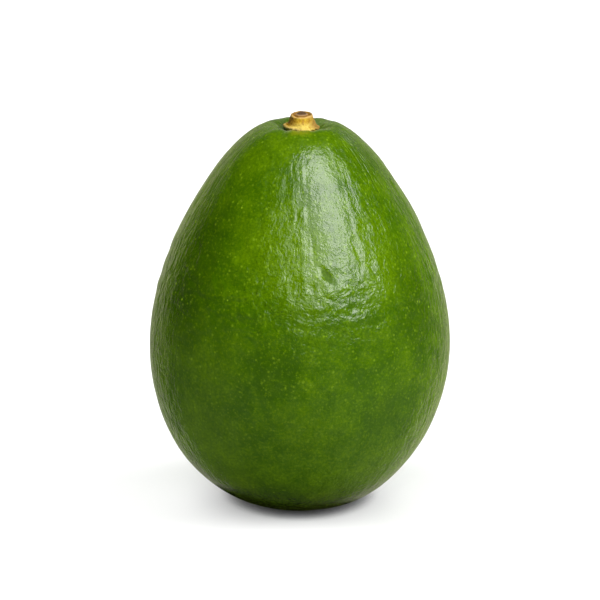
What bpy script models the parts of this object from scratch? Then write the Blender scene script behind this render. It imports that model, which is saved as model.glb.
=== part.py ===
"""A whole smooth-skinned avocado, as picked, standing on its small flat base.

Two pieces: the fruit, one solid, and the corky stub of its stalk, which sits in a shallow
well at the top. Metres, +Z up; the origin is the centre of the flat that the fruit rests on.
"""

import math
from collections import namedtuple

import bpy
from mathutils import Vector

MM = 0.001

# The fruit.
FRUIT_WIDTH = 90.0 * MM  # along X, at the belly
FRUIT_DEPTH = 88.5 * MM  # along Y, at the belly
FOOT_RADIUS = 12.0 * MM  # of the flat that it rests on
BELLY_HEIGHT = 47.5 * MM
SHOULDER_RADIUS = 25.9 * MM
SHOULDER_HEIGHT = 101.3 * MM
SHOULDER_HEADING = 124.0  # degrees
CROWN_RADIUS = 9.6 * MM  # of the rim round the well
CROWN_HEIGHT = 115.3 * MM

# The well at the top, which holds the stalk.
WELL_WALL_RADIUS = 6.6 * MM
WELL_WALL_HEIGHT = 114.2 * MM
WELL_FLOOR_HEIGHT = 112.5 * MM

# How far the fruit's centre line leaves the upright, along X.
TOP_LEAN = 0.5 * MM
LOW_SWAY = 0.5 * MM
LOW_SWAY_HEIGHT = 12.5 * MM

# The stub of the stalk.
STALK_GAP = 0.3 * MM  # between the stub and the well
UNDERSIDE_RADIUS = 5.3 * MM
UNDERSIDE_HEIGHT = 114.1 * MM
FLANGE_RADIUS = 5.6 * MM
FLANGE_HEIGHT = 115.1 * MM
NECK_RADIUS = 3.75 * MM
NECK_HEIGHT = 116.6 * MM
CUT_RADIUS = 3.15 * MM
CUT_HEIGHT = 118.7 * MM
CUT_DISH = 0.3 * MM

# Headings of an outline, in degrees up from straight outwards.
OUTWARDS = 0.0
UP = 90.0
INWARDS = 180.0

FRUIT_TURN_STEPS = 64
STALK_TURN_STEPS = 32
MERGE_DISTANCE = 0.01 * MM
SHARP_ANGLE = math.radians(35)

# A point that an outline passes through: its distance from the axis, its height, the way the
# outline heads there, how far its handles reach back and on, and the steps to the next point.
Anchor = namedtuple("Anchor", "radius height heading back on steps")


def clear_scene():
    for obj in list(bpy.data.objects):
        bpy.data.objects.remove(obj, do_unlink=True)


def principled(name, color, roughness, metallic=0.0):
    material = bpy.data.materials.new(name)
    material.use_nodes = True
    shader = material.node_tree.nodes["Principled BSDF"]
    shader.inputs["Base Color"].default_value = (*color, 1.0)
    shader.inputs["Roughness"].default_value = roughness
    shader.inputs["Metallic"].default_value = metallic
    return material


def place_of(anchor):
    return Vector((anchor.radius, 0.0, anchor.height))


def heading_of(anchor):
    angle = math.radians(anchor.heading)
    return Vector((math.cos(angle), 0.0, math.sin(angle)))


def cubic(start, start_handle, end_handle, end, t):
    s = 1.0 - t
    return s**3 * start + 3 * s * s * t * start_handle + 3 * s * t * t * end_handle + t**3 * end


def smooth_outline(anchors):
    """Points of a curve through the anchors, in the plane Y = 0."""
    outline = []
    for anchor, following in zip(anchors, anchors[1:]):
        start = place_of(anchor)
        end = place_of(following)
        start_handle = start + anchor.on * heading_of(anchor)
        end_handle = end - following.back * heading_of(following)
        for step in range(anchor.steps):
            t = step / anchor.steps
            outline.append(cubic(start, start_handle, end_handle, end, t))
    outline.append(place_of(anchors[-1]))
    return outline


def turned(name, outline, steps, material):
    """A solid of revolution about Z, from an outline that runs from its base to its top."""
    profile = bpy.data.meshes.new(name + "_outline")
    edges = [(i, i + 1) for i in range(len(outline) - 1)]
    # A screw at +X faces outwards when its profile runs down.
    profile.from_pydata(outline[::-1], edges, [])
    guide = bpy.data.objects.new(name + "_outline", profile)
    bpy.context.scene.collection.objects.link(guide)
    screw = guide.modifiers.new("turn", "SCREW")
    screw.axis = "Z"
    screw.steps = steps
    screw.render_steps = steps
    screw.use_merge_vertices = True
    screw.merge_threshold = MERGE_DISTANCE

    graph = bpy.context.evaluated_depsgraph_get()
    solid = bpy.data.meshes.new_from_object(guide.evaluated_get(graph))
    solid.name = name
    solid.materials.clear()
    solid.materials.append(material)
    bpy.data.objects.remove(guide)
    bpy.data.meshes.remove(profile)
    return bpy.data.objects.new(name, solid)


def finish_surface(obj):
    obj.data.update()
    obj.data.shade_smooth()
    obj.data.set_sharp_from_angle(angle=SHARP_ANGLE)


def centre_line(height):
    """How far the fruit's middle is off the origin, along X, at a height."""
    lean = TOP_LEAN * (height / CROWN_HEIGHT) ** 3
    low = height / LOW_SWAY_HEIGHT
    return lean - LOW_SWAY * low * math.exp(1.0 - low)


def fruit_outline():
    belly_radius = FRUIT_WIDTH / 2
    foot = Anchor(FOOT_RADIUS, 0.0, OUTWARDS, 0.0, 14.5 * MM, 16)
    belly = Anchor(belly_radius, BELLY_HEIGHT, UP, 26.8 * MM, 23.8 * MM, 14)
    shoulder = Anchor(SHOULDER_RADIUS, SHOULDER_HEIGHT, SHOULDER_HEADING, 12.2 * MM, 7.9 * MM, 7)
    crown = Anchor(CROWN_RADIUS, CROWN_HEIGHT, INWARDS, 5.1 * MM, 1.2 * MM, 3)
    well_wall = Anchor(WELL_WALL_RADIUS, WELL_WALL_HEIGHT, 232.0, 0.8 * MM, 1.2 * MM, 3)
    well_floor = Anchor(0.0, WELL_FLOOR_HEIGHT, INWARDS, 3.0 * MM, 0.0, 0)
    base_centre = Vector((0.0, 0.0, 0.0))
    return [base_centre, *smooth_outline([foot, belly, shoulder, crown, well_wall, well_floor])]


def make_fruit():
    skin = principled("avocado_skin", (0.055, 0.13, 0.012), 0.34)
    fruit = turned("fruit", fruit_outline(), FRUIT_TURN_STEPS, skin)
    for vertex in fruit.data.vertices:
        vertex.co.x += centre_line(vertex.co.z)
        vertex.co.y *= FRUIT_DEPTH / FRUIT_WIDTH
    finish_surface(fruit)
    return fruit


def stalk_outline():
    """The stub, from its underside in the well up to the dished cut at its top."""
    underside = Anchor(0.0, WELL_FLOOR_HEIGHT + STALK_GAP, OUTWARDS, 0.0, 2.0 * MM, 4)
    underside_rim = Anchor(UNDERSIDE_RADIUS, UNDERSIDE_HEIGHT, 60.0, 1.0 * MM, 0.4 * MM, 2)
    flange = Anchor(FLANGE_RADIUS, FLANGE_HEIGHT, 95.0, 0.3 * MM, 0.3 * MM, 3)
    neck = Anchor(NECK_RADIUS, NECK_HEIGHT, 112.0, 1.0 * MM, 0.6 * MM, 3)
    cut_rim = Anchor(CUT_RADIUS, CUT_HEIGHT, 110.0, 0.6 * MM, 0.2 * MM, 2)
    cut_centre = Anchor(0.0, CUT_HEIGHT - CUT_DISH, INWARDS, 1.5 * MM, 0.0, 0)
    return smooth_outline([underside, underside_rim, flange, neck, cut_rim, cut_centre])


def make_stalk():
    cork = principled("stalk_cork", (0.42, 0.27, 0.06), 0.75)
    stalk = turned("stem_stub", stalk_outline(), STALK_TURN_STEPS, cork)
    for vertex in stalk.data.vertices:
        vertex.co.x += centre_line(CROWN_HEIGHT)
    finish_surface(stalk)
    return stalk


clear_scene()
avocado = bpy.data.collections.new("avocado")
bpy.context.scene.collection.children.link(avocado)
for piece in (make_fruit(), make_stalk()):
    avocado.objects.link(piece)
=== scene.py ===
"""Looks of the avocado: waxy pitted skin, the corky stub of its stalk, and a white studio.

Metres, +Z up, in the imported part's own frame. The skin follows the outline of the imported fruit,
ring by ring, and adds the relief that a real skin has. An azimuth is 0 in front and 90 to the
right. Materials work in millimetres.
"""

import math
from collections import namedtuple

import bpy
import numpy as np
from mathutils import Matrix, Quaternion, Vector, noise


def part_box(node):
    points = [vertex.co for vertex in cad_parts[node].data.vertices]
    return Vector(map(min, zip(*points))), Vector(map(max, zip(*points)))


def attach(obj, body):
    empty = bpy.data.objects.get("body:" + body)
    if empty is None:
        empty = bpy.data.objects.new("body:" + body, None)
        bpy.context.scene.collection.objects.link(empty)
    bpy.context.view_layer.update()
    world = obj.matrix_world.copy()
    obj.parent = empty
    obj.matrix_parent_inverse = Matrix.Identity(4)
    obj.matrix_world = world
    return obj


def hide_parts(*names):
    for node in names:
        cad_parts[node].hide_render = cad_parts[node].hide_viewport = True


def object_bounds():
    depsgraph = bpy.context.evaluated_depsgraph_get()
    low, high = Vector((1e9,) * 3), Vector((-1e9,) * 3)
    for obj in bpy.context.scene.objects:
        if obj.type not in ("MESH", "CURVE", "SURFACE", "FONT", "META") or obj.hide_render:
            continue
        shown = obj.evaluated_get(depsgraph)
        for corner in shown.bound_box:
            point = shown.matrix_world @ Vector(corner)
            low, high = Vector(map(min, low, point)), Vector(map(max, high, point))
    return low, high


MM = 0.001
UP = Vector((0, 0, 1))

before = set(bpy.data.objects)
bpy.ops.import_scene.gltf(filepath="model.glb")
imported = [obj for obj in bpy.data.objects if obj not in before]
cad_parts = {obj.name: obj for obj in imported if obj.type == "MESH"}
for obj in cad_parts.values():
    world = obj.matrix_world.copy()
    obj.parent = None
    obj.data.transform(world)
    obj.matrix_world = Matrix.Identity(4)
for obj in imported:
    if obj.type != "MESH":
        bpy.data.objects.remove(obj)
cad_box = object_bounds()


# ---------------------------------------------------------------- shapes


# Noise with another seed is the same noise, read this much further on.
SEED_STEP = (17.3, -9.1, 5.7)


def ease(low, high, x):
    """0 below low, 1 above high, and a smooth step between."""
    t = np.clip((x - low) / (high - low), 0.0, 1.0)
    return t * t * (3 - 2 * t)


def hump(middle, width, x):
    """1 at the middle, and down to a third at width from it."""
    return np.exp(-(((x - middle) / width) ** 2))


def half_turn(angle):
    """The same angle brought to within half a turn of 0, in radians."""
    return (angle + math.pi) % (2 * math.pi) - math.pi


def noise_at(points, seed):
    """Smooth noise, about -0.7 to 0.7, with features about 1 across."""
    shift = Vector([seed * step for step in SEED_STEP])
    return np.array([noise.noise(Vector(point) + shift) for point in points])


def wrapped(turn, widths, along, length):
    """Places for noise, with as many features round the axis at any radius of the skin.

    They lie on a circle of radius widths, and a feature is about length long.
    """
    return np.stack([np.cos(turn) * widths, np.sin(turn) * widths, along / length], axis=1)


def spline(knots, values, at):
    """A smooth curve through values at knots, read at other places (cubic Hermite)."""
    slopes = np.gradient(values, knots, axis=0)
    cell = np.clip(np.searchsorted(knots, at) - 1, 0, len(knots) - 2)
    span = (knots[cell + 1] - knots[cell])[:, None]
    t = (at - knots[cell])[:, None] / span
    start = (2 * t**3 - 3 * t**2 + 1) * values[cell] + (t**3 - 2 * t**2 + t) * span * slopes[cell]
    end = (3 * t**2 - 2 * t**3) * values[cell + 1] + (t**3 - t**2) * span * slopes[cell + 1]
    return start + end


def reach_along(outline):
    """How far along an outline each of its points is."""
    steps = np.diff(outline[:, :2], axis=0)
    return np.concatenate([[0.0], np.cumsum(np.hypot(*steps.T))])


def turned_rows(outline, places, nudge, steps, start):
    """An outline turned about Z, one row for each step of each ring, rings from base to top.

    Returns the outline's columns, how far along it each row is, how far round, and the outward
    normals. The outline's heading is seen from a point that is nudge further along.
    """
    knots = reach_along(outline)
    smooth = spline(knots, outline, places)
    onward = spline(knots, outline, places + nudge) - smooth
    tilt = np.repeat(np.arctan2(-onward[:, 0], onward[:, 1]), steps)
    turn = np.tile(np.linspace(start, start + 2 * math.pi, steps, endpoint=False), len(places))
    level = np.cos(tilt)
    outwards = np.stack([level * np.cos(turn), level * np.sin(turn), np.sin(tilt)], axis=1)
    columns = np.repeat(smooth, steps, axis=0).T
    return columns, np.repeat(places, steps), turn, outwards


def turned_grid(name, rings, base_pole, top_pole, places, material):
    """A closed skin over rings of points, from base to top, with its own unwrapped map.

    rings is (rings, steps, 3). places says where each ring is along the map, from 0 to 1.
    """
    count, steps, _ = rings.shape
    vertices = rings.reshape(-1, 3).tolist() + [base_pole, top_pole]
    base = count * steps
    top = base + 1
    last = (count - 1) * steps
    faces = []
    corners = []
    for j in range(steps):
        k = (j + 1) % steps
        left, middle, right = j / steps, (j + 0.5) / steps, (j + 1) / steps
        faces.append((base, k, j))
        corners += [(middle, 0.0), (right, places[0]), (left, places[0])]
        for i in range(count - 1):
            low, high = i * steps, (i + 1) * steps
            faces.append((low + j, low + k, high + k, high + j))
            corners += [(left, places[i]), (right, places[i])]
            corners += [(right, places[i + 1]), (left, places[i + 1])]
        faces.append((last + j, last + k, top))
        corners += [(left, places[-1]), (right, places[-1]), (middle, 1.0)]
    mesh = bpy.data.meshes.new(name)
    mesh.from_pydata(vertices, [], faces)
    unwrapped = mesh.uv_layers.new(name="OFBake")
    unwrapped.data.foreach_set("uv", np.array(corners, dtype=np.float32).ravel())
    mesh.shade_smooth()
    mesh.materials.append(material)
    grid = bpy.data.objects.new(name, mesh)
    bpy.context.scene.collection.objects.link(grid)
    return grid


# ---------------------------------------------------------------- graphs


# A place in a material, in millimetres, with its parts, its distance from the axis, and its x
# and y brought to a circle of radius 1.
At = namedtuple("At", "place x y z spread round_x round_y")


class Graph:
    """Short names for adding and joining the nodes of a material, or of the world."""

    def __init__(self, owner, shader="Principled BSDF"):
        owner.use_nodes = True
        self.tree = owner.node_tree
        self.shader = self.tree.nodes[shader]

    def put(self, socket, value):
        if isinstance(value, bpy.types.NodeSocket):
            self.tree.links.new(value, socket)
        elif isinstance(value, tuple) and len(value) == 3 and socket.type == "RGBA":
            socket.default_value = (*value, 1.0)
        else:
            socket.default_value = value

    def set(self, name, value):
        self.put(self.shader.inputs[name], value)

    def node(self, kind, inputs=(), **settings):
        node = self.tree.nodes.new("ShaderNode" + kind)
        for key, value in settings.items():
            setattr(node, key, value)
        for key, value in dict(inputs).items():
            self.put(node.inputs[key], value)
        return node

    def math(self, operation, a, b=0.0, clamp=False):
        node = self.node("Math", operation=operation, use_clamp=clamp)
        self.put(node.inputs[0], a)
        self.put(node.inputs[1], b)
        return node.outputs[0]

    def product(self, first, *others):
        for other in others:
            first = self.math("MULTIPLY", first, other)
        return first

    def total(self, first, *others):
        for other in others:
            first = self.math("ADD", first, other)
        return first

    def vector(self, operation, a, b=(0.0, 0.0, 0.0), output="Vector"):
        return self.node("VectorMath", {0: a, 1: b}, operation=operation).outputs[output]

    def scaled(self, vector, factor):
        node = self.node("VectorMath", {0: vector}, operation="SCALE")
        node.inputs["Scale"].default_value = factor
        return node.outputs["Vector"]

    def parts(self, place):
        return self.node("SeparateXYZ", {"Vector": place}).outputs[:]

    def join(self, x, y, z):
        return self.node("CombineXYZ", {"X": x, "Y": y, "Z": z}).outputs["Vector"]

    def surface(self):
        """The surface point, in millimetres."""
        return self.scaled(self.node("TexCoord").outputs["Object"], 1 / MM)

    def at(self, place, least=0.0):
        """The place as an At. Nearer the axis than least, x and y are not brought out so far."""
        x, y, z = self.parts(place)
        spread = self.math("SQRT", self.total(self.product(x, x), self.product(y, y)))
        safe = self.math("MAXIMUM", spread, least)
        round_x = self.math("DIVIDE", x, safe)
        round_y = self.math("DIVIDE", y, safe)
        return At(place, x, y, z, spread, round_x, round_y)

    def facing(self, at, way):
        """1 on the side of the fruit that faces way, 0 beside it, and -1 on the far side."""
        return self.total(self.product(at.round_x, way[0]), self.product(at.round_y, way[1]))

    def around(self, at, widths, length):
        """A place for noise, with as many features round the fruit at any radius of the skin.

        It lies on a circle of radius widths, and a feature is about length millimetres long.
        """
        x = self.product(at.round_x, widths)
        y = self.product(at.round_y, widths)
        return self.join(x, y, self.math("DIVIDE", at.z, length))

    def noise(self, place, size, detail=2.0, rough=0.5):
        """Noise from 0 to 1 with features about size millimetres across."""
        inputs = {"Vector": place, "Scale": 1 / size, "Detail": detail, "Roughness": rough}
        return self.node("TexNoise", inputs).outputs["Fac"]

    def drift(self, place, size, detail):
        """A noise colour that wander can move places by."""
        inputs = {"Vector": place, "Scale": 1 / size, "Detail": detail}
        return self.node("TexNoise", inputs).outputs["Color"]

    def wander(self, place, drift, reach):
        """The place moved about by a drift, by up to half of reach each way."""
        centred = self.vector("SUBTRACT", drift, (0.5, 0.5, 0.5))
        return self.vector("ADD", place, self.scaled(centred, reach))

    def cells(self, place, size):
        """Voronoi cells about size millimetres across: (distance in cells, random colour)."""
        node = self.node("TexVoronoi", {"Vector": place, "Scale": 1 / size})
        return node.outputs["Distance"], node.outputs["Color"]

    def fade(self, value, low, high, to_low=0.0, to_high=1.0):
        """A smooth step from to_low to to_high as the value goes from low to high."""
        inputs = {"Value": value, "From Min": low, "From Max": high}
        inputs |= {"To Min": to_low, "To Max": to_high}
        return self.node("MapRange", inputs, interpolation_type="SMOOTHSTEP").outputs["Result"]

    def blend(self, factor, a, b):
        node = self.node("Mix", data_type="RGBA")
        self.put(node.inputs[0], factor)
        self.put(node.inputs[6], a)
        self.put(node.inputs[7], b)
        return node.outputs[2]

    def relief(self, heights):
        """Bumps from (height, what a height of 1 is in millimetres), one on another."""
        normal = None
        for height, depth in heights:
            bump = self.node("Bump", {"Height": height, "Strength": 1.0, "Distance": depth * MM})
            if normal is not None:
                self.put(bump.inputs["Normal"], normal)
            normal = bump.outputs["Normal"]
        self.set("Normal", normal)


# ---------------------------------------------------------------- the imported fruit's outline


def fruit_outline(node):
    """(radius, height, middle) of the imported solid's rings, from the middle of its base up."""
    by_height = {}
    for vertex in node.data.vertices:
        by_height.setdefault(round(vertex.co.z, 6), []).append(vertex.co.x)
    belly = max(by_height, key=lambda z: max(by_height[z]) - min(by_height[z]))
    rings = []
    for height, xs in by_height.items():
        rings.append(((max(xs) - min(xs)) / 2, height, (max(xs) + min(xs)) / 2))
    rings.sort(key=lambda ring: math.atan2(ring[1] - belly, ring[0]))
    foot = rings[0]
    return np.array([(0.0, foot[1], foot[2]), *rings])


OUTLINE = fruit_outline(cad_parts["fruit"])
OUTLINE_LENGTH = reach_along(OUTLINE)[-1]
FOOT_RADIUS = OUTLINE[1, 0]
FRUIT_LOW, FRUIT_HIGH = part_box("fruit")
DEPTH_RATIO = (FRUIT_HIGH.y - FRUIT_LOW.y) / (FRUIT_HIGH.x - FRUIT_LOW.x)


def surface_radius(height):
    """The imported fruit's radius at a height on its side."""
    side = OUTLINE[: int(np.argmax(OUTLINE[:, 1])) + 1]
    return float(np.interp(height, side[1:, 1], side[1:, 0]))


# ---------------------------------------------------------------- shape of the skin


SKIN_STEPS = 296
SKIN_RINGS = 330
SKIN_NUDGE = 0.05 * MM
BASE_POLE_HEIGHT = 0.5 * MM  # of the middle of the blossom end's scar

# The smoother strip up the front: the azimuth of its middle, and how far from that its edge
# starts and ends.
STRIP_AZIMUTH = math.radians(17)
STRIP_EDGE = (math.radians(10), math.radians(17))

# Long shallow creases that run down from the shoulder: azimuth in degrees, and where each
# starts and ends, its width and its depth in millimetres.
CREASES = (
    (33.0, 112.0, 76.0, 1.3, 0.16),
    (-9.0, 110.0, 88.0, 1.2, 0.08),
    (75.0, 108.0, 70.0, 1.6, 0.10),
    (138.0, 111.0, 80.0, 1.5, 0.12),
    (-148.0, 109.0, 74.0, 1.5, 0.10),
    (-78.0, 107.0, 82.0, 1.4, 0.09),
)


def skin_places():
    """Where the rings of the skin are along the outline: closest from the belly up."""
    fine = np.linspace(0.0, 1.0, 4000)
    spacing = 1.15 - 0.65 * ease(0.25, 0.45, fine)
    reach = np.concatenate([[0.0], np.cumsum(1 / spacing[1:])])
    wanted = np.linspace(0.0, reach[-1], SKIN_RINGS + 2)[1:-1]
    return np.interp(wanted, reach, fine) * OUTLINE_LENGTH


def crease_relief(azimuth, height, radius):
    """The creases, each with a low swell along one side, in millimetres."""
    cut = np.zeros_like(radius)
    for middle, start, end, width, depth in CREASES:
        waver = 1.6 * np.sin(height / (9 * MM) + middle)
        off = half_turn(azimuth - math.radians(middle))
        across = off * radius / MM + waver * 0.5
        window = ease(end, end + 12.0, height / MM) * (1 - ease(start - 8.0, start, height / MM))
        cut -= depth * window * (hump(0.0, width, across) - 0.5 * hump(2 * width, width, across))
    return cut


def side_relief(base, turn, azimuth, side):
    """Lumps and orange peel all over, crinkles that run up the skin, and ripples at its waist."""
    height = base[:, 2]
    upper = ease(68 * MM, 90 * MM, height) * (1 - 0.75 * ease(97 * MM, 112 * MM, height))
    waist = hump(71 * MM, 10 * MM, height)

    lumps = 0.34 * noise_at(base / (30 * MM), 1) + 0.16 * noise_at(base / (12 * MM), 2)
    sway = 0.10 * noise_at(base / (9 * MM), 9)
    long_waves = noise_at(wrapped(turn + sway, 8, side, 12 * MM), 3)
    short_waves = noise_at(wrapped(turn + sway, 14, side, 5 * MM), 4)
    ripples = noise_at(wrapped(turn, 5, side + 12 * MM * sway, 2.8 * MM), 5)
    peel = noise_at(base / (2.4 * MM), 6)

    strip = 1 - ease(*STRIP_EDGE, np.abs(azimuth - STRIP_AZIMUTH))
    smoothed = 1 - 0.85 * strip * ease(74 * MM, 84 * MM, height)
    crinkles = (0.06 + 0.14 * upper) * long_waves + (0.03 + 0.14 * upper) * short_waves
    crinkles *= smoothed * (0.5 + 0.5 * hump(math.radians(16), math.radians(50), azimuth))
    fine = (0.01 + 0.22 * waist) * ripples + 0.03 * peel
    return lumps + crinkles + fine


def stalk_end_relief(turn, azimuth, from_top, waver):
    """Folds that run out from the stalk, and a lip that stands higher in front of it."""
    window = ease(5 * MM, 9 * MM, from_top) * (1 - ease(10 * MM, 19 * MM, from_top))
    strength = 0.6 + 0.9 * noise_at(wrapped(turn, 2, 0 * from_top, 1), 8)
    folds = 0.19 * window * strength * np.cos(13 * turn + 4 * waver)
    lip = 0.55 * hump(0.0, math.radians(55), azimuth) * hump(10.2 * MM, 2.6 * MM, from_top)
    return folds + lip


def blossom_end_relief(turn, along, waver):
    """Puckers round the blossom end, and the small scar in its middle."""
    window = ease(2.5 * MM, 7 * MM, along) * (1 - ease(14 * MM, 30 * MM, along))
    puckers = -0.05 * window * (1 + np.cos(9 * turn + 3 * waver))
    scar = -0.5 * (1 - ease(1.0 * MM, 2.2 * MM, along))
    return puckers + scar


def skin_relief(base, turn, along, radius):
    """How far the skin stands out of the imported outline, in millimetres."""
    azimuth = half_turn(turn + math.pi / 2)
    side = along - FOOT_RADIUS
    from_top = OUTLINE_LENGTH - along
    waver = noise_at(wrapped(turn, 1.5, side, 12 * MM), 7)
    body = ease(5 * MM, 22 * MM, side) * ease(7 * MM, 12 * MM, from_top)
    relief = body * side_relief(base, turn, azimuth, side)
    relief += crease_relief(azimuth, base[:, 2], radius)
    relief += stalk_end_relief(turn, azimuth, from_top, waver)
    relief += blossom_end_relief(turn, along, waver)
    return relief


def make_skin(material):
    places = skin_places()
    columns, along, turn, outwards = turned_rows(OUTLINE, places, SKIN_NUDGE, SKIN_STEPS, 0.0)
    radius, height, middle = columns
    x = middle + radius * np.cos(turn)
    y = DEPTH_RATIO * radius * np.sin(turn)
    base = np.stack([x, y, height], axis=1)
    points = base + outwards * skin_relief(base, turn, along, radius)[:, None] * MM
    points[:, 2] = np.maximum(points[:, 2], 0.0)
    rings = points.reshape(SKIN_RINGS, SKIN_STEPS, 3)
    base_pole = (OUTLINE[0, 2], 0.0, BASE_POLE_HEIGHT)
    top_pole = (OUTLINE[-1, 2], 0.0, OUTLINE[-1, 1])
    skin = turned_grid("fruit_skin", rings, base_pole, top_pole, places / OUTLINE_LENGTH, material)
    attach(skin, "root")
    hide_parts("fruit")
    return skin


# ---------------------------------------------------------------- colour and gloss of the skin


SKIN_DEEP = (0.036, 0.091, 0.0002)
SKIN_GREEN = (0.055, 0.123, 0.0002)
SKIN_LIME = (0.090, 0.172, 0.0002)
SKIN_SHADE = (0.021, 0.057, 0.0002)
GRAIN_DARK = (0.024, 0.070, 0.0004)
GRAIN_PALE = (0.120, 0.215, 0.001)
FLECK_COLOR = (0.23, 0.37, 0.015)
OLIVE_TINT_COLOR = (0.20, 0.20, 0.006)

# Level ways, as x and y: out of the front, a little to the right, and across the smoother strip.
FRONT_WAY = (0.28, -0.96)
STRIP_ACROSS = (0.956, 0.285)

# Small dents: azimuth, height, half width, half length, depth in millimetres, lean in degrees.
DENTS = (
    (12.0, 79.7, 1.1, 3.2, 0.50, -42.0),
    (7.0, 86.5, 0.8, 3.6, 0.16, 2.0),
    (28.0, 85.0, 0.7, 3.2, 0.12, -16.0),
    (-2.0, 94.6, 0.6, 1.6, 0.12, 10.0),
    (-5.0, 89.5, 0.6, 1.4, 0.12, 20.0),
    (22.0, 71.0, 1.8, 1.0, 0.12, -10.0),
    (118.0, 60.0, 1.2, 2.4, 0.25, 30.0),
    (-120.0, 48.0, 1.3, 2.0, 0.22, -35.0),
    (172.0, 82.0, 1.0, 2.8, 0.25, 15.0),
)

# A dull scar in the first dent, with painted shade in its colour: azimuth, height, half width, half
# length, lean.
SCAR = (12.0, 79.7, 0.9, 2.9, -42.0)

# Some of these patches are the skin's own mottling, and some are painted shade and painted light.
# Darker (below 0) and paler patches: azimuth, height, half width, half height, strength.
MOTTLES_AND_PAINTED_LIGHT = (
    (-55.0, 69.0, 11.0, 14.0, -1.0),
    (-53.0, 87.0, 10.0, 11.0, -0.95),
    (-9.0, 53.0, 10.0, 8.0, -0.6),
    (52.0, 68.0, 7.0, 17.0, -0.6),
    (66.0, 108.0, 8.0, 6.0, -0.5),
    (36.0, 38.0, 7.0, 6.0, -0.4),
    (36.0, 82.0, 9.0, 10.0, 0.55),
    (4.0, 47.5, 3.0, 3.0, 0.8),
    (2.0, 84.0, 8.5, 15.0, 0.9),
    (-82.0, 80.0, 12.0, 12.0, -0.35),
    (-19.0, 88.0, 8.0, 11.0, 0.5),
    (160.0, 60.0, 14.0, 17.0, -0.6),
    (-140.0, 88.0, 12.0, 10.0, 0.5),
)
SPOT_DEPTH = 15.0  # half depth of any spot on the skin, in millimetres

# Pale flecks: how far apart in millimetres, their radius as a share of that, their strength.
FLECKS = (
    (1.2, 0.38, 0.4),
    (3.8, 0.10, 0.85),
)


def spot_reach(g, place, azimuth, height, half_width, half_length, lean=0.0):
    """How far the place is from a spot on the side: 0 in its middle, and 1 on its edge."""
    a, tip = math.radians(azimuth), math.radians(lean)
    radius = surface_radius(height * MM) / MM
    middle = (radius * math.sin(a), -radius * math.cos(a), height)
    across = Vector((math.cos(a), math.sin(a), 0))
    width = (across * math.cos(tip) - UP * math.sin(tip)) / half_width
    length = (across * math.sin(tip) + UP * math.cos(tip)) / half_length
    depth = across.cross(UP) / SPOT_DEPTH
    off = g.vector("SUBTRACT", place, middle)
    sides = []
    for way in (width, length, depth):
        sides.append(g.vector("DOT_PRODUCT", off, tuple(way), output="Value"))
    return g.vector("LENGTH", g.join(*sides), output="Value")


def skin_color(g, at, scar):
    """Zones, blotches, patches of mottling and of painted shade and light, a belly band of painted
    shade and a fine grain, then flecks, the scar with painted shade, and an olive tint.
    """
    zones = g.noise(at.place, 22.0, detail=2.0)
    blotches = g.noise(at.place, 5.5, detail=4.0, rough=0.65)
    grain = g.noise(at.place, 0.8, detail=3.0, rough=0.7)
    color = g.blend(g.fade(blotches, 0.36, 0.60), SKIN_DEEP, SKIN_GREEN)
    color = g.blend(g.fade(zones, 0.44, 0.66, 0.0, 0.35), color, SKIN_LIME)
    color = g.blend(g.fade(blotches, 0.52, 0.74, 0.0, 0.55), color, SKIN_LIME)
    drifting = g.wander(at.place, g.drift(at.place, 9.0, 3.0), 14.0)
    # Mottling, and patches of painted shade and painted light.
    for *spot, strength in MOTTLES_AND_PAINTED_LIGHT:
        mottle_and_painted_light = g.fade(spot_reach(g, drifting, *spot), 1.5, 0.2, 0.0, abs(strength))
        color = g.blend(mottle_and_painted_light, color, SKIN_LIME if strength > 0 else SKIN_SHADE)
    # Painted shade: a darker band round the belly.
    belly = g.product(g.fade(at.z, 76.0, 56.0), g.fade(at.z, 15.0, 34.0), 0.26)
    color = g.blend(belly, color, SKIN_SHADE)
    color = g.blend(g.fade(grain, 0.56, 0.30, 0.0, 0.55), color, GRAIN_DARK)
    color = g.blend(g.fade(grain, 0.50, 0.80, 0.0, 0.6), color, GRAIN_PALE)

    # Each fleck has its own size and strength, and they are weaker low down.
    for size, share, pale in FLECKS:
        distance, pick = g.cells(at.place, size)
        chance = g.node("SeparateColor", {"Color": pick}).outputs
        reach = g.fade(chance["Red"], 0.0, 1.0, 0.7 * share, 1.3 * share)
        spot = g.math("SUBTRACT", 1.0, g.math("DIVIDE", distance, reach), clamp=True)
        strength = g.fade(chance["Green"], 0.45, 1.0, 0.0, pale)
        high = g.fade(at.z, 25.0, 75.0, 0.45, 1.0)
        flecks = g.product(g.fade(spot, 0.0, 0.8), strength, high)
        color = g.blend(flecks, color, FLECK_COLOR)
    # Painted shade in the scar's dent.
    color = g.blend(g.product(scar, 0.4), color, SKIN_SHADE)

    # An olive tint on the lip in front of the stalk.
    edge = g.total(at.z, g.product(g.noise(at.place, 2.0, detail=3.0), 2.0))
    beside = g.math("ABSOLUTE", at.x)
    front = g.product(g.fade(edge, 115.7, 117.1), g.fade(at.y, -6.0, -7.5))
    olive_tint = g.product(front, g.fade(beside, 4.8, 1.5), 0.6)
    return g.blend(olive_tint, color, OLIVE_TINT_COLOR)


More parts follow.
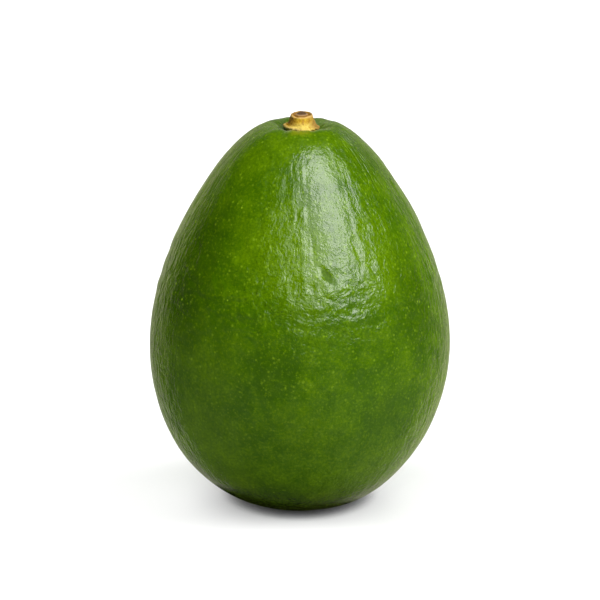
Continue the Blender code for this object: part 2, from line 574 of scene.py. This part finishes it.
def skin_crinkles(g, at, warp):
    """Crinkles that run up the fruit.

    They are weak in the strip up its front, and strong low down at its sides and back.
    """
    off_strip = g.math("ABSOLUTE", g.facing(at, STRIP_ACROSS))
    front = g.fade(at.round_y, 0.0, -0.5)
    strip = g.product(g.fade(off_strip, 0.28, 0.19), front, g.fade(at.z, 74.0, 84.0))
    facing = g.facing(at, FRONT_WAY)
    low_sides = g.product(g.fade(at.round_y, -0.80, -0.40), g.fade(at.z, 75.0, 50.0), 2.0)
    low_sides = g.product(low_sides, g.fade(at.z, 10.0, 24.0))
    return g.product(
        g.noise(g.wander(g.around(at, 14.0, 4.8), warp, 1.9), 1.0, detail=3.0, rough=0.6),
        g.total(g.fade(at.z, 45.0, 75.0, 0.5, 1.0), low_sides),
        g.fade(facing, 0.70, 0.95, 0.6, 1.0),
        g.fade(facing, 0.50, 0.20, 1.0, 1.2),
        g.fade(at.spread, 15.0, 35.0, 0.2, 1.0),
        g.fade(strip, 0.0, 1.0, 1.0, 0.25),
    )


def skin_ripples(g, at, warp):
    """Ripples across the fruit's waist."""
    ripples = g.noise(g.wander(g.around(at, 9.0, 2.9), warp, 1.8), 1.0, detail=2.0, rough=0.5)
    waist = g.product(g.fade(at.z, 56.0, 70.0), g.fade(at.z, 88.0, 74.0, 0.2, 1.0))
    return g.product(ripples, waist)


def skin_threads(g, at):
    """Finer crinkles at the sides and back."""
    threads = g.noise(g.around(at, 30.0, 4.5), 1.0, detail=3.0)
    return g.product(threads, g.fade(at.round_y, -0.80, -0.40))


def skin_material():
    material = bpy.data.materials.new("avocado_skin")
    g = Graph(material)
    at = g.at(g.surface())
    warp = g.drift(at.place, 6.0, 2.0)
    wavering = g.wander(at.place, warp, 2.4)

    # The scar's mask dulls the skin, and paints shade into its colour.
    scar = g.fade(spot_reach(g, wavering, *SCAR), 1.1, 0.7)
    g.set("Base Color", skin_color(g, at, scar))
    wax = g.fade(g.noise(at.place, 3.0, detail=4.0), 0.3, 0.7, 0.14, 0.24)
    g.set("Roughness", g.fade(scar, 0.0, 1.0, wax, 0.9))
    g.set("IOR", 1.45)
    g.set("Sheen Weight", 0.13)
    g.set("Sheen Roughness", 0.35)
    g.set("Sheen Tint", (0.76, 0.92, 0.14))

    dents = []
    for azimuth, height, half_width, half_length, depth, lean in DENTS:
        reach = spot_reach(g, wavering, azimuth, height, half_width, half_length, lean)
        dents.append((g.fade(reach, 0.0, 1.6), depth))
    pits, _ = g.cells(at.place, 1.3)
    g.relief(
        [
            *dents,
            (skin_crinkles(g, at, warp), 0.60),
            (skin_ripples(g, at, warp), 0.62),
            (skin_threads(g, at), 0.55),
            (g.noise(at.place, 1.3, detail=2.0, rough=0.65), 0.15),
            (g.fade(pits, 0.0, 0.35), 0.032),
            (g.noise(at.place, 0.42, detail=1.0), 0.030),
        ]
    )
    return material


# ---------------------------------------------------------------- shape of the stalk's stub


STALK_STEPS = 144
STALK_RINGS = 110
STALK_NUDGE = 0.02  # millimetres

# The stub's outline: radius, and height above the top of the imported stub, in millimetres.
STALK_OUTLINE = (
    (0.6, -5.85),
    (3.0, -5.6),
    (4.3, -4.9),
    (5.1, -4.1),
    (5.42, -3.75),
    (5.42, -3.45),
    (5.20, -3.25),
    (4.85, -3.22),
    (4.45, -3.05),
    (4.08, -2.65),
    (3.80, -2.2),
    (3.60, -1.7),
    (3.42, -1.2),
    (3.30, -0.8),
    (3.20, -0.5),
    (3.05, -0.32),
    (2.85, -0.32),
    (2.60, -0.55),
    (2.30, -0.80),
    (2.00, -0.78),
    (1.85, -0.50),
    (1.70, -0.38),
    (1.52, -0.40),
    (1.32, -0.22),
    (1.0, -0.02),
    (0.55, 0.08),
    (0.15, 0.10),
)
CUT_SLOPE = 0.085  # how much the cut rises towards the back, for each 1 along Y
CUT_FRONT = -2.4  # where that rise is 0, along Y in millimetres
SCAR_SHIFT = 0.85  # of the scar in the cut towards the back, in millimetres


def stalk_top():
    """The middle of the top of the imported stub."""
    low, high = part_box("stem_stub")
    return (low.x + high.x) / 2, (low.y + high.y) / 2, high.z


def stalk_relief(points, turn, along, radius, height):
    """How far the cork stands out of the outline, in millimetres."""
    flange = hump(-3.3, 0.7, height)
    neck = ease(-3.4, -2.2, height) * (1 - ease(-0.9, -0.4, height)) * ease(2.8, 3.2, radius)
    right = hump(math.radians(78), math.radians(38), turn + math.pi / 2)
    fibres = noise_at(wrapped(turn, 5, along, 2.6), 21)
    threads = noise_at(wrapped(turn, 11, along, 1.3), 22)
    crust = noise_at(points / 0.62, 23)
    lobes = noise_at(wrapped(turn, 1.6, 0 * along, 1), 24)
    relief = 0.10 * fibres * neck + 0.05 * threads * neck + (0.05 + 0.08 * neck) * crust
    relief += flange * (0.25 * lobes + 0.14 * threads + 0.16 * crust)
    relief += right * flange * (0.25 * crust - 0.35)
    return relief


def bend_stalk(points, turn, along, radius, height):
    """Make the flange wavy, higher on the left and lower on the right.

    Then move the scar back, slope the cut and roughen its rim.
    """
    flange = ease(3.9, 5.4, radius)
    left = hump(math.radians(-80), math.radians(45), turn + math.pi / 2)
    right = hump(math.radians(80), math.radians(40), turn + math.pi / 2)
    wave = noise_at(wrapped(turn, 1.3, 0 * along, 1), 25)
    points[:, 2] += flange * (0.35 * wave + 0.30 * left - 0.25 * right)
    inner = 1 - ease(0.9, 2.4, radius)
    points[:, 1] += inner * SCAR_SHIFT
    cut = ease(-1.5, -0.9, height)
    points[:, 2] += cut * CUT_SLOPE * (points[:, 1] - CUT_FRONT)
    rim = hump(2.95, 0.35, radius) * ease(-0.7, -0.4, height)
    points[:, 2] += rim * 0.30 * noise_at(wrapped(turn, 2.2, 0 * along, 1), 26)


def make_stalk(material):
    outline = np.array(STALK_OUTLINE)
    length = reach_along(outline)[-1]
    places = np.linspace(0.0, length, STALK_RINGS)
    rows = turned_rows(outline, places, STALK_NUDGE, STALK_STEPS, -math.pi)
    (radius, height), along, turn, outwards = rows
    flat = np.stack([radius * np.cos(turn), radius * np.sin(turn), height], axis=1)
    points = flat + outwards * stalk_relief(flat, turn, along, radius, height)[:, None]
    bend_stalk(points, turn, along, radius, height)
    points = points * MM + np.array(stalk_top())
    rings = points.reshape(STALK_RINGS, STALK_STEPS, 3)
    base_pole = rings[0].mean(axis=0).tolist()
    top_pole = rings[-1].mean(axis=0).tolist()
    stalk = turned_grid("stem_cork", rings, base_pole, top_pole, places / length, material)
    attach(stalk, "root")
    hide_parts("stem_stub")
    return stalk


# ---------------------------------------------------------------- colour and gloss of the stub


CORK_BROWN = (0.33, 0.165, 0.002)
CORK_GOLD = (0.44, 0.26, 0.004)
CORK_PALE = (0.54, 0.39, 0.030)
CORK_GRAIN = (0.24, 0.12, 0.004)
FLARE_COLOR = (0.57, 0.44, 0.085)
RIGHT_COLOR = (0.27, 0.16, 0.035)
LEFT_BROWN_AND_SHADE = (0.16, 0.078, 0.002)
LIP_COLOR = (0.42, 0.30, 0.09)
RIM_BACK_SHADED = (0.24, 0.13, 0.035)
RIM_FRONT_HIGHLIT = (0.50, 0.31, 0.085)
HOLLOW_COLOR = (0.22, 0.105, 0.015)
RING_COLOR = (0.29, 0.18, 0.09)
SCAR_COLOR = (0.085, 0.045, 0.020)
SCAR_MIDDLE = (0.0, 0.75, 0.0)  # from the middle of the stub's top, in millimetres


def stalk_color(g, at, fibres, spots, grain):
    """Golden cork with its own tones on each side, painted shade on the neck's left, and a rim,
    ring and scar in the cut, the rim with painted light in front and painted shade behind.
    """
    color = g.blend(g.fade(fibres, 0.34, 0.62), CORK_BROWN, CORK_GOLD)
    color = g.blend(g.fade(spots, 0.46, 0.64, 0.0, 0.75), color, CORK_PALE)
    flare = g.product(g.fade(at.z, -1.4, -3.2), g.fade(at.round_y, -0.40, -0.85))
    color = g.blend(g.product(flare, g.fade(spots, 0.2, 0.5)), color, FLARE_COLOR)
    color = g.blend(g.fade(grain, 0.50, 0.30, 0.0, 0.35), color, CORK_GRAIN)

    # The right is duller and pinkish, the neck's left is browner, partly its own colour and partly
    # painted shade, and the flange's left is pale.
    right = g.product(g.fade(at.round_x, 0.45, 0.95), g.fade(at.z, -0.8, -2.6, 0.45, 0.9))
    color = g.blend(right, color, RIGHT_COLOR)
    left = g.product(g.fade(at.round_x, -0.15, -0.85), g.fade(at.z, -3.3, -2.6), 0.85)
    color = g.blend(left, color, LEFT_BROWN_AND_SHADE)
    lip = g.product(g.fade(at.spread, 4.6, 5.1), g.fade(at.round_x, 0.2, -0.4), 0.8)
    color = g.blend(lip, color, LIP_COLOR)

    # Pale rim round the cut, lighter in front as painted highlight and darker behind as painted
    # shade, a brown hollow in it, a lighter ring, and the dark scar.
    rim = g.product(g.fade(at.z, -0.75, -0.45), g.fade(at.spread, 2.65, 2.85))
    color = g.blend(rim, color, g.blend(g.fade(at.round_y, 0.1, -0.4), RIM_BACK_SHADED, RIM_FRONT_HIGHLIT))
    hollow = g.product(g.fade(at.spread, 2.75, 2.55), g.fade(at.z, -1.4, -1.1))
    color = g.blend(hollow, color, HOLLOW_COLOR)
    scar_x, scar_y, _ = g.parts(g.vector("SUBTRACT", at.place, SCAR_MIDDLE))
    squares = g.total(g.product(scar_x, scar_x), g.product(scar_y, scar_y))
    ring = g.product(g.fade(squares, 3.9, 3.2), g.fade(at.z, -0.75, -0.5))
    color = g.blend(ring, color, RING_COLOR)
    scar = g.product(g.fade(squares, 2.5, 1.7), g.fade(at.z, -0.55, -0.35))
    return g.blend(scar, color, SCAR_COLOR)


def stalk_material():
    material = bpy.data.materials.new("stalk_cork")
    g = Graph(material)
    middle = tuple(part / MM for part in stalk_top())
    at = g.at(g.vector("SUBTRACT", g.surface(), middle), least=0.2)
    fibres = g.noise(g.around(at, 4.0, 1.6), 1.0, detail=3.0, rough=0.55)
    spots = g.noise(at.place, 0.9, detail=4.0, rough=0.65)
    grain = g.noise(at.place, 0.3, detail=2.0, rough=0.6)
    g.set("Base Color", stalk_color(g, at, fibres, spots, grain))
    g.set("Roughness", g.fade(spots, 0.3, 0.7, 0.45, 0.75))
    g.set("Specular IOR Level", 0.25)
    g.relief([(fibres, 0.12), (spots, 0.32), (grain, 0.08)])
    return material


# ---------------------------------------------------------------- studio


# A light: azimuth and elevation in degrees, size in metres, how far it is rolled in degrees,
# radiance, and whether reflections show it.
Panel = namedtuple("Panel", "name azimuth elevation size roll radiance shines")

# Lights on the fruit.
BODY_LIGHTS = (
    Panel("key", 42.5, 52, (0.55, 1.18), -4, 7.9, True),
    Panel("key_spread", 32, 44, (1.5, 1.4), 0, 2.4, True),
    Panel("key_rest", 12, 50, (1.25, 1.3), 0, 1.1, False),
    Panel("top", 0, 88, (1.0, 1.0), 0, 1.0, False),
    Panel("left_rim", -128, -32, (0.8, 0.8), 0, 6.7, False),
    Panel("right_rim", 126, -32, (0.8, 0.8), 0, 6.4, False),
)
BODY_AIM = (0.0, 0.0, 60 * MM)
BODY_LIGHT_DISTANCE = 1.3

# Lamps on the floor: azimuth and elevation in degrees, radiance.
FLOOR_LAMPS = (
    (90, 12, 13.3),
    (-90, 12, 8.8),
    (0, 12, 7.5),
    (180, 25, 4.1),
    (0, 40, 1.0),
    (90, 40, 2.8),
    (-90, 40, 1.8),
    (0, 60, 1.2),
    (90, 60, 0.7),
    (-90, 60, 1.7),
)
FLOOR_AIM = (0.0, 0.0, 0.0)
FLOOR_LAMP_SIZE = (2.0, 1.4)
FLOOR_LAMP_DISTANCE = 2.6

FLOOR_SIZE = 16.0
FLOOR_ALBEDO = 0.9  # of the floor that the camera sees
BOUNCE_ALBEDO = 0.62  # of the floor that lights the fruit from below
BOUNCE_DEPTH = 0.5 * MM
# The floor's colour is darkened near the fruit as a painted contact shadow.
CONTACT_REACH = 6 * MM  # how near the fruit must be to a point of the floor to darken it

# The black discs under the fruit: how far they are shifted away from the key light, and the
# radius and depth of the one that stops light and of the one that only reflections show.
DISC_SHIFT = -4 * MM
SHADE_DISC = (44 * MM, 0.25 * MM)
MIRRORED_DISC = (24 * MM, 0.15 * MM)

# Pale things that only reflections show, by direction: one behind and above, and one low at
# each side, as it is on the right.
HIGH_CARD = (-0.25, 0.77, 0.59)
CORNER_CARD = (0.40, 0.70, -0.59)
MIRRORED_COLOR = (1.0, 1.0, 0.78)

CAMERA_ELEVATION = math.radians(17.0)
CAMERA_DISTANCE = 0.996
CAMERA_AIM = 0.5185  # share of the part's height
LENS_MM = 200.0
SENSOR_MM = 36.0


def matt(name, albedo):
    material = bpy.data.materials.new(name)
    g = Graph(material)
    g.set("Base Color", (albedo, albedo, albedo))
    g.set("Roughness", 1.0)
    g.set("Specular IOR Level", 0.0)
    return material


def make_floor(name, albedo, depth):
    """A white floor with a painted contact shadow close to the fruit, and that reflections don't
    show.
    """
    bpy.ops.mesh.primitive_plane_add(size=FLOOR_SIZE, location=(0, 0, -depth))
    floor = bpy.context.object
    floor.name = name
    white = matt(name + "_white", albedo)
    floor.data.materials.append(white)
    g = Graph(white)
    # Painted contact shadow: the floor's colour goes dark where the fruit is close over it.
    painted_shadow_ao = g.node("AmbientOcclusion", {"Distance": CONTACT_REACH}, samples=8).outputs["AO"]
    lit = g.fade(painted_shadow_ao, 0.06, 0.40, 0.12, 1.0)
    g.set("Base Color", g.blend(lit, (0.0, 0.0, 0.0), (albedo, albedo, albedo)))
    floor.visible_glossy = False
    floor.visible_shadow = False
    return floor


def make_disc(name, radius, depth):
    """A black disc just under the floor, unseen by the camera."""
    place = (DISC_SHIFT, 0, -depth)
    bpy.ops.mesh.primitive_circle_add(radius=radius, fill_type="NGON", location=place)
    disc = bpy.context.object
    disc.name = name
    disc.data.materials.append(matt(name + "_black", 0.0))
    disc.visible_camera = False
    return disc


def make_light(panel, distance, aim, lit):
    """A soft rectangular light on the objects in lit, hidden from the camera.

    Seen from its aim, it is at its azimuth and elevation.
    """
    a, e = math.radians(panel.azimuth), math.radians(panel.elevation)
    way = Vector((math.sin(a) * math.cos(e), -math.cos(a) * math.cos(e), math.sin(e)))
    data = bpy.data.lights.new(panel.name, "AREA")
    data.shape = "RECTANGLE"
    data.size, data.size_y = panel.size
    data.energy = panel.radiance * math.pi * data.size * data.size_y
    light = bpy.data.objects.new(panel.name, data)
    light.location = Vector(aim) + way * distance
    light.rotation_mode = "QUATERNION"
    roll = Quaternion((0, 0, 1), math.radians(panel.roll))
    light.rotation_quaternion = way.to_track_quat("Z", "Y") @ roll
    light.visible_camera = False
    light.visible_glossy = panel.shines
    bpy.context.scene.collection.objects.link(light)
    receivers = bpy.data.collections.new(panel.name + "_lights")
    for obj in lit:
        receivers.objects.link(obj)
    light.light_linking.receiver_collection = receivers


def make_studio(body):
    floor = make_floor("studio_floor", FLOOR_ALBEDO, 0.0)
    floor.visible_diffuse = False
    bounce = make_floor("studio_bounce", BOUNCE_ALBEDO, BOUNCE_DEPTH)
    bounce.visible_camera = False

    # One disc keeps light from below off the foot, and the other darkens what it mirrors.
    shade = make_disc("contact_shade", *SHADE_DISC)
    shade.visible_glossy = False
    mirrored = make_disc("contact_mirror", *MIRRORED_DISC)
    mirrored.visible_diffuse = False
    mirrored.visible_shadow = False

    for panel in BODY_LIGHTS:
        make_light(panel, BODY_LIGHT_DISTANCE, BODY_AIM, body)
    for azimuth, elevation, radiance in FLOOR_LAMPS:
        name = f"floor_lamp_{azimuth}_{elevation}"
        lamp = Panel(name, azimuth, elevation, FLOOR_LAMP_SIZE, 0, radiance, False)
        make_light(lamp, FLOOR_LAMP_DISTANCE, FLOOR_AIM, [floor, bounce])


def surroundings(g):
    """How bright reflections show the world to be: pale behind, beside and below."""
    way = g.node("TexCoord").outputs["Generated"]
    x, y, z = g.parts(way)
    aside = g.math("ABSOLUTE", x)
    behind = g.total(g.fade(y, 0.40, 1.0, 0.0, 0.22), g.fade(y, 0.80, 0.92, 0.0, 0.28))
    behind = g.product(behind, g.fade(z, -0.90, -0.50, 0.3, 1.0))
    beside = g.total(g.fade(aside, 0.35, 0.80, 0.0, 0.07), g.fade(x, 0.15, 0.45, 0.0, 0.11))
    beside = g.product(beside, g.fade(z, 0.0, -0.4))
    off = g.vector("DISTANCE", g.join(aside, y, z), CORNER_CARD, output="Value")
    corner = g.product(g.fade(off, 0.34, 0.22, 0.0, 0.26), g.fade(z, -0.80, -0.70))
    below = g.total(g.fade(z, -0.2, -0.6, 0.02, 0.06), corner)

    # All of it ends at a soft level line, which is higher straight behind.
    above = g.math("SUBTRACT", z, g.fade(y, 0.66, 0.92, 0.0, 0.54))
    glow = g.product(g.total(behind, g.total(beside, below)), g.fade(above, 0.18, -0.18))
    off = g.vector("DISTANCE", way, HIGH_CARD, output="Value")
    return g.total(glow, g.fade(off, 0.38, 0.14, 0.0, 0.40))


def make_world():
    """White to the camera, pale surroundings to reflections, and dark to all other rays."""
    world = bpy.data.worlds.new("studio")
    bpy.context.scene.world = world
    g = Graph(world, "Background")
    world.cycles.sampling_method = "NONE"
    path = g.node("LightPath").outputs
    mirrored = path["Is Glossy Ray"]
    glow = g.product(surroundings(g), mirrored)
    g.set("Strength", g.math("MAXIMUM", path["Is Camera Ray"], glow))
    g.set("Color", g.blend(mirrored, (1.0, 1.0, 1.0), MIRRORED_COLOR))


def make_camera():
    data = bpy.data.cameras.new("camera")
    data.sensor_width = SENSOR_MM
    data.lens = LENS_MM
    camera = bpy.data.objects.new("camera", data)
    aim = Vector((0, 0, CAMERA_AIM * cad_box[1].z))
    back = Vector((0, -math.cos(CAMERA_ELEVATION), math.sin(CAMERA_ELEVATION)))
    camera.location = aim + back * CAMERA_DISTANCE
    camera.rotation_mode = "QUATERNION"
    camera.rotation_quaternion = back.to_track_quat("Z", "Y")
    bpy.context.scene.collection.objects.link(camera)
    bpy.context.scene.camera = camera


make_camera()
make_studio([make_skin(skin_material()), make_stalk(stalk_material())])
make_world()
bpy.context.scene.view_settings.view_transform = "Standard"
